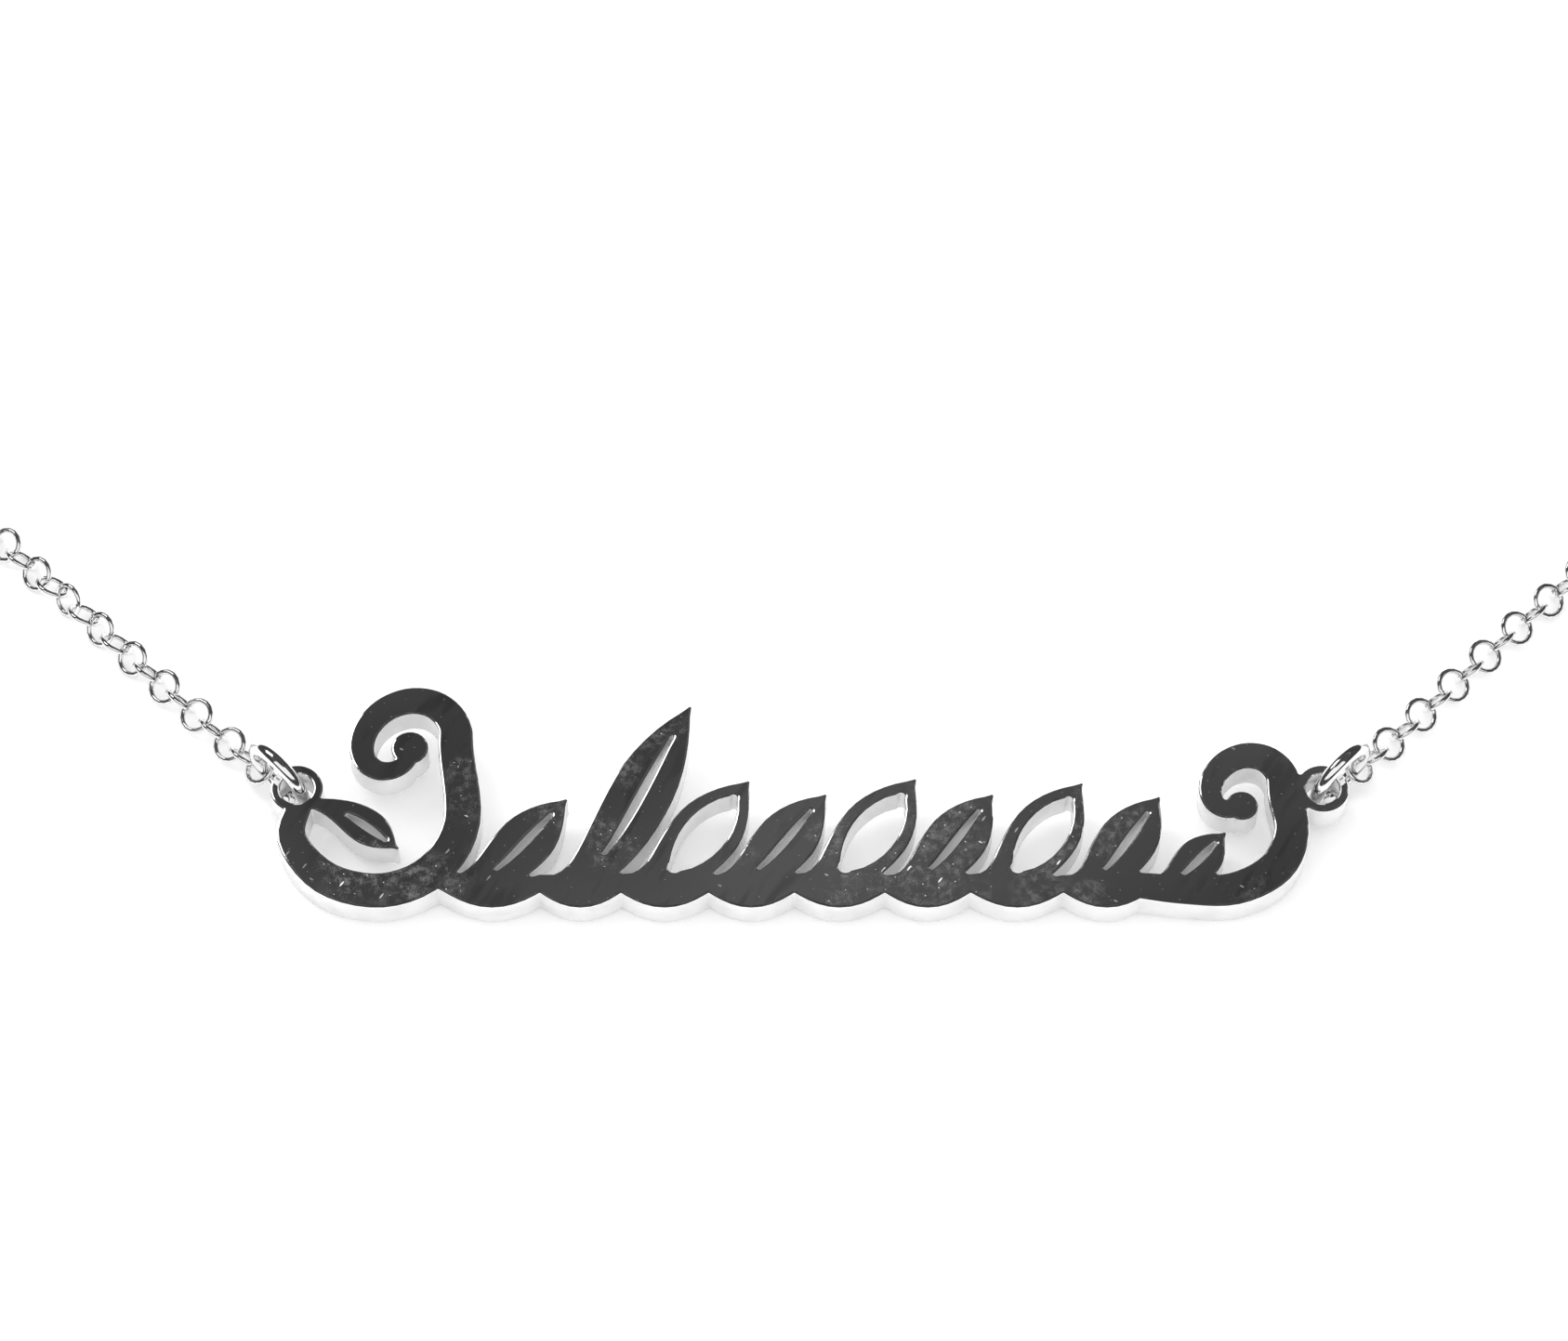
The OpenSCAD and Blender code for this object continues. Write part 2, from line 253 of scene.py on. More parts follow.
@dataclass(frozen=True)
class Layout:
    """How the necklace lies, from the same sizes as the part's source."""

    eye_span: float = 46.0
    drop_h: float = 6.0
    plate_t: float = 1.5
    eye_rim: float = 0.44
    ring_wire: float = 0.65
    hole_play: float = 0.85
    ring_play: float = 0.9
    ring_lean: float = math.radians(8)
    ring_inset: float = 0.37
    rest_gap: float = 0.04
    necklace_length: float = 420.0
    link_od: float = 1.7
    link_wire: float = 0.26
    link_roll: float = math.radians(32)
    leave_angle: float = math.radians(46)
    chain_gap: float = 0.12
    clasp_l: float = 10.0
    clasp_w: float = 4.2
    clasp_wall: float = 0.9
    clasp_t: float = 1.2
    end_ring_wire: float = 0.6
    end_ring_play: float = 0.4

    @property
    def jump_ring(self) -> Ring:
        """The ring through an eye of the plate."""
        return Ring(math.hypot(self.eye_rim, self.plate_t) + self.ring_play, self.ring_wire)

    @property
    def end_ring(self) -> Ring:
        """The ring at an end of the clasp."""
        return Ring(math.hypot(self.clasp_wall, self.clasp_t) + self.end_ring_play, self.end_ring_wire)

    @property
    def ring_reach(self) -> float:
        """Distance of a jump ring's middle from the middle of its eye."""
        return self.jump_ring.middle - self.ring_inset * self.hole_play

    @property
    def plate_rise(self) -> float:
        """Height of the plate's underside along the line through its eyes."""
        ring = self.jump_ring
        half, hole = ring.inside / 2, (self.ring_wire + self.hole_play) / 2
        reach = max(self.ring_reach - hole, hole + self.eye_rim - self.ring_reach)
        return half + ring.wire - math.sqrt(half**2 - reach**2) + self.rest_gap

    @property
    def plate_tilt(self) -> float:
        """Angle by which the plate leans back from its lower edge."""
        return math.asin(self.plate_rise / self.drop_h)

    @property
    def chain_d(self) -> float:
        """Width and height of the chain."""
        return (self.link_od - self.link_wire) * math.cos(self.link_roll) + self.link_wire

    @property
    def eye_y(self) -> float:
        """Place of the plate's middle under its eyes, before the whole is centred."""
        return -self.plate_t / 2 * math.sin(self.plate_tilt)

    @property
    def leave(self) -> Vector:
        """Direction in which the right chain leaves the plate."""
        return Vector((math.cos(self.leave_angle), math.sin(self.leave_angle)))

    @property
    def jump_middle(self) -> Vector:
        """Middle of the right jump ring, seen from above, before the whole is centred."""
        return Vector((self.eye_span / 2, self.eye_y)) + self.ring_reach * self.leave

    @property
    def start(self) -> Vector:
        """Where the right chain's middle line starts."""
        return self.jump_middle + (self.jump_ring.outside / 2 + self.chain_gap) * self.leave

    @property
    def loop_r(self) -> float:
        """Radius of the big arc at the back."""
        side = self.necklace_length / 2 - (self.start - Vector((self.eye_span / 2, self.eye_y))).length
        side -= self.eye_span / 2
        turn = math.tan(self.leave_angle) + math.pi - self.leave_angle
        return (side + self.start.x / self.leave.x) / turn

    @property
    def run(self) -> float:
        """Length of the straight stretch from the plate to the arc."""
        return (self.loop_r * self.leave.y - self.start.x) / self.leave.x

    @property
    def loop_y(self) -> float:
        """Middle of the arc, before the whole is centred."""
        return self.start.y + self.run * self.leave.y + self.loop_r * self.leave.x

    @property
    def clasp_half(self) -> float:
        """Distance of the clasp's rings from its middle."""
        return self.clasp_l / 2 - self.clasp_wall / 2

    @property
    def chain_end_x(self) -> float:
        """Where the chain's middle line ends beside the clasp."""
        return self.clasp_half + self.end_ring.outside / 2 + self.chain_gap

    @property
    def clasp_y(self) -> float:
        """Line of the clasp, before the whole is centred."""
        return self.loop_y + math.sqrt(self.loop_r**2 - self.chain_end_x**2)

    @property
    def middle_y(self) -> float:
        """Middle of the whole necklace, which becomes the origin."""
        front = -self.drop_h * math.cos(self.plate_tilt) - self.plate_t * math.sin(self.plate_tilt)
        back = self.clasp_y + max(self.clasp_w, self.chain_d) / 2
        return (front + back) / 2

    @property
    def chain_l(self) -> float:
        """Length of one side's middle line."""
        turned = math.pi - self.leave_angle - math.asin(self.chain_end_x / self.loop_r)
        return self.run + self.loop_r * turned

    def on_chain(self, length: float) -> Tuple[Vector, float]:
        """Place and heading on the right side's middle line.

        Args:
            length: How far from its start, and below 0 on the straight line before it.

        Returns:
            The place in the centred frame and the heading in radians.
        """
        if length < self.run:
            place, heading = self.start + length * self.leave, self.leave_angle
        else:
            heading = self.leave_angle + (length - self.run) / self.loop_r
            place = Vector((0, self.loop_y))
            place += self.loop_r * Vector((math.sin(heading), -math.cos(heading)))
        return place - Vector((0, self.middle_y)), heading


# Meshes


def finish_mesh(
    name: str, bm: bmesh.types.BMesh, materials: Sequence[bpy.types.Material]
) -> bpy.types.Object:
    """Turns a bmesh into a named object at the origin.

    Args:
        name: The piece's name.
        bm: The mesh in millimetres, which is freed.
        materials: Its materials in the order of its faces' indices.

    Returns:
        The object.
    """
    bmesh.ops.scale(bm, vec=(MM, MM, MM), verts=bm.verts)
    mesh = bpy.data.meshes.new(name)
    bm.to_mesh(mesh)
    bm.free()
    for material in materials:
        mesh.materials.append(material)
    piece = bpy.data.objects.new(name, mesh)
    bpy.context.scene.collection.objects.link(piece)
    return piece


def copy_of_node(node: str) -> bmesh.types.BMesh:
    """A CAD node's mesh in millimetres, with its loose triangles joined into flat faces.

    Args:
        node: The node's name.

    Returns:
        The mesh.
    """
    bm = bmesh.new()
    bm.from_mesh(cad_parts[node].data)
    bmesh.ops.scale(bm, vec=(1 / MM,) * 3, verts=bm.verts)
    bmesh.ops.remove_doubles(bm, verts=bm.verts, dist=MERGE_DIST)
    bmesh.ops.dissolve_limit(
        bm,
        angle_limit=FLAT_ANGLE,
        use_dissolve_boundaries=False,
        verts=bm.verts,
        edges=bm.edges,
        delimit=set(),
    )
    return bm


def round_rims(bm: bmesh.types.BMesh, up: Vector, width: float, steps: int, material: int) -> None:
    """Rounds the rims of a flat body, whose two flat sides are then filled anew.

    Args:
        bm: The body in millimetres.
        up: Direction in which its upper side faces.
        width: Width of the rounding.
        steps: Faces across the rounding.
        material: Index of the rounding's material, or -1 for the walls' own.
    """
    flat = {face for face in bm.faces if abs(face.normal.dot(up)) > NEAR_LEVEL}
    rims = [edge for edge in bm.edges if len(flat.intersection(edge.link_faces)) == 1]
    bmesh.ops.bevel(
        bm,
        geom=rims,
        offset=width,
        segments=steps,
        profile=0.5,
        affect="EDGES",
        clamp_overlap=False,
        material=material,
    )
    flat = [face for face in bm.faces if abs(face.normal.dot(up)) > LEVEL]
    inner = {edge for face in flat for edge in face.edges if set(edge.link_faces) <= set(flat)}
    bmesh.ops.delete(bm, geom=flat, context="FACES_ONLY")
    bmesh.ops.delete(bm, geom=list(inner), context="EDGES")
    rims = [edge for edge in bm.edges if edge.is_boundary]
    middle = sum(edge.verts[0].co.dot(up) for edge in rims) / len(rims)
    for side in (up, -up):
        loops = [edge for edge in rims if (edge.verts[0].co.dot(up) - middle) * side.dot(up) > 0]
        bmesh.ops.triangle_fill(bm, use_beauty=True, use_dissolve=False, edges=loops, normal=side)


def shade(bm: bmesh.types.BMesh, crease: float) -> None:
    """Smooth shading that stops at edges that turn by more than an angle.

    Args:
        bm: The mesh.
        crease: The angle in radians.
    """
    for face in bm.faces:
        face.smooth = True
    for edge in bm.edges:
        edge.smooth = not edge.is_manifold or edge.calc_face_angle(0.0) < crease


def make_ring(ring: Ring, steps: int, sides: int, gap: float) -> bmesh.types.BMesh:
    """A ring of wire bent round in the XZ plane, its two ends butted at +X.

    Args:
        ring: Its sizes.
        steps: Faces round the ring.
        sides: Faces round the wire.
        gap: Gap between the two ends, or 0 for an endless ring.

    Returns:
        The mesh in millimetres, about the origin.
    """
    bm = bmesh.new()
    made = bmesh.ops.create_circle(bm, cap_ends=False, segments=sides, radius=ring.wire / 2)
    bmesh.ops.translate(bm, vec=(ring.middle, 0, 0), verts=made["verts"])
    opened = gap / ring.middle
    bmesh.ops.rotate(bm, cent=(0, 0, 0), matrix=Matrix.Rotation(opened / 2, 3, "Y"), verts=bm.verts)
    bmesh.ops.spin(
        bm,
        geom=bm.verts[:] + bm.edges[:],
        cent=(0, 0, 0),
        axis=(0, 1, 0),
        dvec=(0, 0, 0),
        angle=math.tau - opened,
        steps=steps,
        use_merge=gap == 0,
    )
    bmesh.ops.remove_doubles(bm, verts=bm.verts, dist=WELD_DIST)
    if gap:
        ends = bmesh.ops.holes_fill(bm, edges=bm.edges, sides=0)["faces"]
        rims = {edge for face in ends for edge in face.edges}
        bmesh.ops.bevel(
            bm,
            geom=list(rims),
            offset=ring.wire * BUTT_ROUND,
            segments=2,
            profile=0.5,
            affect="EDGES",
            material=-1,
        )
    bmesh.ops.recalc_face_normals(bm, faces=bm.faces)
    return bm


# Finishes


@dataclass(frozen=True)
class Nicks:
    """Short straight marks that all run one way, one at most in each cell.

    They run by turn, in radians from X. A cell has a length and a width in millimetres, a mark's size is
    a share of its cell, and few is the share of the cells that have none.
    """

    turn: float
    cell: Tuple[float, float]
    size: float
    few: float
    soft: float = 0.6

    def mask(self, shader: Shader, place: Term) -> Term:
        """Adds the marks to a shader.

        Args:
            shader: The tree.
            place: Where they are read, in metres.

        Returns:
            1 on a mark, else 0.
        """
        length, width = self.cell
        turned = shader.node(
            "ShaderNodeMapping",
            {"vector_type": "TEXTURE"},
            {"Vector": place, "Rotation": (0, 0, self.turn), "Scale": (length * MM, width * MM, 1)},
        )
        settings = {"voronoi_dimensions": "2D"}
        sockets = {"Vector": turned, "Scale": 1.0, "Randomness": 1.0}
        near = shader.node("ShaderNodeTexVoronoi", settings, sockets)
        tint = shader.node("ShaderNodeTexVoronoi", settings, sockets, out="Color")
        pick = shader.node("ShaderNodeSeparateColor", {}, {"Color": tint})
        return near.step(self.size, self.size * self.soft) * (pick > self.few)


class Finish:
    """What the finishes share: a metal's shader and drawn-out textures."""

    @staticmethod
    def metal(
        shader: Shader,
        colour: Term,
        roughness: Term,
        height: Term,
        haze: Optional[Number] = None,
        dust: float = 0.8,
    ) -> None:
        """Closes a metal's node tree.

        Args:
            shader: The tree.
            colour: Base colour.
            roughness: Roughness.
            height: Relief in micrometres.
            haze: Share of pale dust that lies over the metal.
            dust: How light the dust is.
        """
        sockets = {"Height": height * (MM / 1000), "Strength": 1.0, "Distance": 1.0}
        normal = shader.node("ShaderNodeBump", {}, sockets)
        sockets = {"Base Color": colour, "Metallic": 1.0, "Roughness": roughness, "Normal": normal}
        surface = shader.node("ShaderNodeBsdfPrincipled", {}, sockets)
        if haze is not None:
            pale = shader.node("ShaderNodeBsdfPrincipled", {}, {"Base Color": grey(dust), "Roughness": 0.8})
            surface = shader.node("ShaderNodeMixShader", {}, {0: haze, 1: surface, 2: pale})
        shader.node("ShaderNodeOutputMaterial", {}, {"Surface": surface})

    @staticmethod
    def drawn_out(shader: Shader, place: Term, turn: float, scale: Tuple[float, float, float]) -> Term:
        """Coordinates that draw a texture out along one way.

        Args:
            shader: The tree.
            place: The coordinates.
            turn: The way, in radians from X.
            scale: How much longer the texture's features grow each way.

        Returns:
            The new coordinates.
        """
        sockets = {"Vector": place, "Rotation": (0, 0, turn), "Scale": scale}
        return shader.node("ShaderNodeMapping", {"vector_type": "TEXTURE"}, sockets)


@dataclass(frozen=True)
class FaceFinish(Finish):
    """Mirror-polished face: cloudy bands, dusty smudges, fine specks and a few short ticks."""

    silver: float = 0.86
    dull: float = 0.58
    rough: float = 0.05
    smudge_rough: float = 0.12
    smudge_haze: float = 0.13
    mark_haze: float = 0.9
    streak_turn: float = 1.05
    streak_draw: float = 4.0
    streak_share: float = 0.8
    streak_grain: float = 0.8
    streak_levels: Tuple[float, float] = (0.50, 0.66)
    cloud_grain: float = 5.5
    cloud_levels: Tuple[float, float] = (0.40, 0.62)
    worn_grain: float = 4.2
    worn_levels: Tuple[float, float] = (0.52, 0.66)
    smudge_grain: float = 0.4
    smudge_levels: Tuple[float, float] = (0.46, 0.64)
    relief_grain: float = 3.4
    relief: float = 2.4
    long_ticks: Nicks = Nicks(0.95, (5, 1.3), 0.036, 0.6)
    short_ticks: Nicks = Nicks(-0.5, (4, 1.6), 0.030, 0.65)
    specks: Nicks = Nicks(0.2, (0.8, 0.62), 0.05, 0.5)
    speck_share: float = 0.6
    clean_share: float = 0.25
    origin: Tuple[float, float, float] = (0.0, 0.0, 0.0)
    tilt: float = 0.0

    def material(self, name: str) -> bpy.types.Material:
        """Builds the finish.

        Args:
            name: The material's name.

        Returns:
            The material.
        """
        material, shader = new_material(name)
        place = plate_place(shader, self.origin, self.tilt)
        drawn = self.drawn_out(shader, place, self.streak_turn, (self.streak_draw, 1, 1))
        streaks = shader.noise(drawn, self.streak_grain).step(*self.streak_levels)
        clouds = shader.noise(place, self.cloud_grain).step(*self.cloud_levels)
        worn = shader.noise(place, self.worn_grain).step(*self.worn_levels)
        fine = shader.noise(place, self.smudge_grain, detail=6, roughness=0.85)
        smudges = fine.step(*self.smudge_levels) * worn
        marks = self.long_ticks.mask(shader, place) + self.short_ticks.mask(shader, place)
        marks = marks + self.specks.mask(shader, place) * self.speck_share
        haze = smudges * self.smudge_haze + marks * (self.clean_share + worn) * self.mark_haze
        dulled = streaks * (1 - clouds) * self.streak_share
        colour = shader.blend(dulled, grey(self.silver), grey(self.dull))
        roughness = self.rough + smudges * self.smudge_rough
        height = shader.noise(place, self.relief_grain, detail=1) * self.relief
        self.metal(shader, colour, roughness, height, haze)
        return material


@dataclass(frozen=True)
class WallFinish(Finish):
    """Polished sawn wall: bright, with faint cutting lines across the plate's thickness."""

    silver: float = 0.86
    dull: float = 0.70
    rough: float = 0.24
    line_rough: float = 0.03
    line_grain: float = 0.11
    line_draw: float = 12.0
    line_levels: Tuple[float, float] = (0.4, 0.7)
    patch_grain: float = 1.1
    patch_levels: Tuple[float, float] = (0.40, 0.72)
    relief: float = 0.05
    satin: float = 0.4
    dust: float = 0.9
    origin: Tuple[float, float, float] = (0.0, 0.0, 0.0)
    tilt: float = 0.0

    def material(self, name: str) -> bpy.types.Material:
        """Builds the finish.

        Args:
            name: The material's name.

        Returns:
            The material.
        """
        material, shader = new_material(name)
        place = plate_place(shader, self.origin, self.tilt)
        drawn = self.drawn_out(shader, place, 0, (1, 1, self.line_draw))
        lines = shader.noise(drawn, self.line_grain, roughness=0.6)
        patches = shader.noise(place, self.patch_grain, detail=3, roughness=0.55).step(*self.patch_levels)
        roughness = self.rough + lines.step(*self.line_levels) * self.line_rough
        colour = shader.blend(patches, grey(self.silver), grey(self.dull))
        self.metal(shader, colour, roughness, lines * self.relief, self.satin, self.dust)
        return material


@dataclass(frozen=True)
class WireFinish(Finish):
    """Bright drawn wire of rings and links, with faint rubbed patches."""

    silver: float = 0.82
    rough: float = 0.05
    rub_rough: float = 0.12
    rub_dull: float = 0.08
    rub: float = 0.5
    rub_levels: Tuple[float, float] = (0.52, 0.78)
    relief_grain: float = 0.12
    relief: float = 0.8

    def material(self, name: str) -> bpy.types.Material:
        """Builds the finish.

        Args:
            name: The material's name.

        Returns:
            The material.
        """
        material, shader = new_material(name)
        place = shader.node("ShaderNodeTexCoord", {}, {}, out="Object")
        rubbed = shader.noise(place, self.rub, detail=3, roughness=0.6).step(*self.rub_levels)
        roughness = self.rough + rubbed * self.rub_rough
        colour = shader.blend(rubbed, grey(self.silver), grey(self.silver - self.rub_dull))
        self.metal(shader, colour, roughness, shader.noise(place, self.relief_grain) * self.relief)
        return material


def plate_place(shader: Shader, origin: Tuple[float, float, float], tilt: float) -> Term:
    """Object coordinates turned into the plate's own: along, up and through it.

    Args:
        shader: The tree.
        origin: Middle of the eyes' line on the underside, in metres.
        tilt: The plate's lean in radians.

    Returns:
        The coordinates in metres.
    """
    place = shader.node("ShaderNodeTexCoord", {}, {}, out="Object")
    return shader.node(
        "ShaderNodeMapping",
        {"vector_type": "TEXTURE"},
        {"Vector": place, "Location": origin, "Rotation": (tilt, 0, 0)},
    )


# Sub-assemblies


@dataclass
class Nameplate:
    """The thick sawn plate with its rounded rims."""

    layout: Layout
    rim: float = 0.1
    rim_steps: int = 3
    crease: float = math.radians(28)
    name: str = "plate"

    def build(self) -> bpy.types.Object:
        """Builds and dresses the plate.

        Returns:
            The piece that stands for the CAD node.
        """
        bm = copy_of_node("nameplate")
        tilt = self.layout.plate_tilt
        up = Vector((0, -math.sin(tilt), math.cos(tilt)))
        round_rims(bm, up, self.rim, self.rim_steps, 2)
        shade(bm, self.crease)
        for face in bm.faces:
            level = abs(face.normal.dot(up))
            if level > LEVEL:
                face.material_index = 0
                for edge in face.edges:
                    edge.smooth = False
            elif level < UPRIGHT:
                face.material_index = 1
        origin = (0.0, -self.layout.middle_y * MM, self.layout.plate_rise * MM)
        place = {"origin": origin, "tilt": tilt}
        finishes = [
            FaceFinish(**place).material("polished_face"),
            WallFinish(**place).material("sawn_wall"),
            WireFinish(silver=0.92, rough=0.08).material("polished_rim"),
        ]
        piece = finish_mesh(self.name, bm, finishes)
        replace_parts(piece, "nameplate")
        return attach(piece, "root")


@dataclass
class WireRing:
    """A jump ring or a ring at the clasp."""

    ring: Ring
    node: str
    middle: Vector
    heading: float
    lean: float
    finish: bpy.types.Material
    slot: str = "ring_metal"
    steps: int = 64
    sides: int = 18
    gap: float = 0.02
    joint: float = math.radians(62)
    crease: float = math.radians(50)

    def build(self) -> bpy.types.Object:
        """Builds the ring where its CAD node stands.

        Returns:
            The piece that stands for the CAD node.
        """
        bm = make_ring(self.ring, self.steps, self.sides, self.gap)
        shade(bm, self.crease)
        height = self.ring.middle * math.cos(self.lean) + self.ring.wire / 2
        place = Matrix.Translation((self.middle.x, self.middle.y, height))
        place = place @ Matrix.Rotation(self.heading, 4, "Z") @ Matrix.Rotation(self.lean, 4, "X")
        bmesh.ops.transform(bm, matrix=place @ Matrix.Rotation(self.joint, 4, "Y"), verts=bm.verts)
        piece = finish_mesh(self.node + "_wire", bm, [self.finish])
        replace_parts(piece, self.node)
        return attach(piece, "root")


@dataclass(frozen=True)
class Hung:
    """How a link hangs near a ring: its place in millimetres from the ring's middle on the floor, along
    the chain, aside and up, then its yaw, roll and pitch in degrees."""

    place: Tuple[float, float, float]
    turns: Tuple[float, float, float]

    def matrix(self, middle: Vector, heading: float) -> Matrix:
        """The link's place in the necklace.

        Args:
            middle: The ring's middle, seen from above.
            heading: The way that the chain leaves the ring, in radians.

        Returns:
            The matrix, in millimetres.
        """
        yaw, roll, pitch = (math.radians(turn) for turn in self.turns)
        start = Matrix.Translation((middle.x, middle.y, 0)) @ Matrix.Rotation(heading, 4, "Z")
        turned = Matrix.Rotation(yaw, 4, "Z") @ Matrix.Rotation(pitch, 4, "Y")
        return start @ Matrix.Translation(self.place) @ (turned @ Matrix.Rotation(roll, 4, "X"))


# The two links that climb to each ring of the right side, with at least 0.05 mm between any wires
AT_JUMP_RING = (
    Hung((1.45, 0.05, 0.95), (0, 30, 20)),
    Hung((2.5, 0.05, 0.75), (0, -50, 5)),
)
AT_CLASP_RING = (
    Hung((1.35, 0.0, 1.05), (0, -15, 20)),
    Hung((2.4, -0.1, 0.85), (0, 60, 10)),
)


@dataclass
class ChainSide:
    """One side's round links, each through the next, laid on the surface."""

    layout: Layout
    side: Side
    finish: bpy.types.Material
    slack: float = 0.02
    steps: int = 16
    sides: int = 6
    climbs: Tuple[float, float] = (0.8, 1.0)
    roll_jitter: float = math.radians(6)
    twist: float = math.radians(34)
    wander: float = 0.09
    settle: float = 3.0
    seed: int = 2953

    @property
    def link(self) -> Ring:
        """Sizes of one link."""
        return Ring(self.layout.link_od - 2 * self.layout.link_wire, self.layout.link_wire)

    def places(self) -> List[Matrix]:
        """Where each link of the right side lies.

        Returns:
            One matrix a link, in millimetres.
        """
        rng = random.Random(self.seed + self.side.value)
        spans = (2.3, 4.1, 7.7)
        phases = [rng.uniform(0, math.tau) for _ in spans + spans]
        reach = self.layout.link_od / 2 - self.layout.chain_gap
        first, last = reach + self.climbs[0], self.layout.chain_l - reach - self.climbs[1]
        count = 2 * math.ceil((last - first) / (self.link.inside - self.slack) / 2)
        centre = Vector((0, self.layout.middle_y))
        jump = self.layout.jump_middle - centre
        end = Vector((self.layout.clasp_half, self.layout.clasp_y)) - centre
        made = [hung.matrix(jump, self.layout.leave_angle) for hung in AT_JUMP_RING]
        made += [hung.matrix(end, 0.0) for hung in AT_CLASP_RING]
        for index in range(count + 1):
            length = first + (last - first) * index / count
            free = min(1.0, (length - first) / self.settle, (last - length) / self.settle)
            place, heading = self.layout.on_chain(length)
            starts = zip(spans + spans, phases)
            waves = [math.sin(length / span + phase) * free / 3 for span, phase in starts]
            aside = Vector((math.sin(heading), -math.cos(heading))) * sum(waves[:3]) * self.wander
            roll = self.layout.link_roll + sum(waves[3:]) * self.twist
            roll += rng.uniform(-1, 1) * self.roll_jitter * free
            height = self.link.middle * max(math.sin(roll), math.cos(roll)) + self.link.wire / 2
            roll -= math.radians(90) * (index % 2)
            made.append(
                Matrix.Translation((place.x + aside.x, place.y + aside.y, height))
                @ Matrix.Rotation(heading, 4, "Z")
                @ Matrix.Rotation(roll, 4, "X")
            )
        return made

    def build(self) -> bpy.types.Object:
        """Builds the links as one piece.

        Returns:
            The piece that stands for the side's CAD node.
        """
        pattern = bpy.data.meshes.new("link")
        one = make_ring(self.link, self.steps, self.sides, 0.0)
        bmesh.ops.rotate(one, cent=(0, 0, 0), matrix=Matrix.Rotation(math.pi / 2, 3, "X"), verts=one.verts)
        shade(one, math.pi)
        one.to_mesh(pattern)
        one.free()
        bm = bmesh.new()
        for place in self.places():
            copy = pattern.copy()
            copy.transform(place)
            bm.from_mesh(copy)
            bpy.data.meshes.remove(copy)
        bpy.data.meshes.remove(pattern)
        if self.side is Side.LEFT:
            bmesh.ops.scale(bm, vec=(-1, 1, 1), verts=bm.verts)
            bmesh.ops.reverse_faces(bm, faces=bm.faces)
        node = f"chain_{self.side.word}"
        piece = finish_mesh(node + "_links", bm, [self.finish])
        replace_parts(piece, node)
        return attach(piece, "root")


@dataclass
class Clasp:
    """The plain closed clasp at the back, its edges rounded as if cast."""

    finish: bpy.types.Material
    round_r: float = 0.26
    round_steps: int = 4
    crease: float = math.radians(35)

    def build(self) -> bpy.types.Object:
        """Builds and dresses the clasp.

        Returns:
            The piece that stands for the CAD node.
        """
        bm = copy_of_node("clasp")
        round_rims(bm, Vector((0, 0, 1)), self.round_r, self.round_steps, -1)
        shade(bm, self.crease)
        piece = finish_mesh("clasp_cast", bm, [self.finish])
        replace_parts(piece, "clasp")
        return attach(piece, "root")


# Studio


@dataclass(frozen=True)
class Flag:
    """A dark screen bent round the plate, which only the polished metal mirrors."""

    name: str
    turn: Tuple[float, float]
    climb: Tuple[float, float]
    level: float
    away: float = 600.0
    steps: int = 12
    cloud_size: float = 55.0
    cloud_levels: Tuple[float, float] = (0.3, 0.7)
    cloud_share: float = 0.4

    def build(self, middle: Vector) -> None:
        """Builds the screen, which the camera doesn't see and which throws no shadow.

        Args:
            middle: What it is bent round, in millimetres.
        """
        material, shader = new_material(self.name)
        place = shader.node("ShaderNodeTexCoord", {}, {}, out="Object")
        cloud = shader.noise(place, self.cloud_size, detail=1).step(*self.cloud_levels)
        dark, light = self.level * (1 - self.cloud_share), self.level * (1 + self.cloud_share)
        glow = shader.blend(cloud, grey(dark), grey(light))
        sockets = {"Base Color": grey(0.0), "Specular IOR Level": 0.0, "Emission Color": glow}
        surface = shader.node("ShaderNodeBsdfPrincipled", {}, {**sockets, "Emission Strength": 1.0})
        shader.node("ShaderNodeOutputMaterial", {}, {"Surface": surface})
        bm = bmesh.new()
        bmesh.ops.create_vert(bm, co=(0, -self.away, 0))
        low, high = (math.radians(angle) for angle in self.climb)
        first, last = (math.radians(angle) for angle in self.turn)
        bmesh.ops.rotate(bm, cent=(0, 0, 0), matrix=Matrix.Rotation(-low, 3, "X"), verts=bm.verts)
        common = {"cent": (0, 0, 0), "dvec": (0, 0, 0), "steps": self.steps}
        bmesh.ops.spin(bm, geom=bm.verts[:], axis=(1, 0, 0), angle=low - high, **common)
        bmesh.ops.rotate(bm, cent=(0, 0, 0), matrix=Matrix.Rotation(first, 3, "Z"), verts=bm.verts)
        bmesh.ops.spin(bm, geom=bm.verts[:] + bm.edges[:], axis=(0, 0, 1), angle=last - first, **common)
        bmesh.ops.translate(bm, vec=middle, verts=bm.verts)
        screen = finish_mesh(self.name, bm, [material])
        screen.visible_camera = screen.visible_diffuse = screen.visible_shadow = False


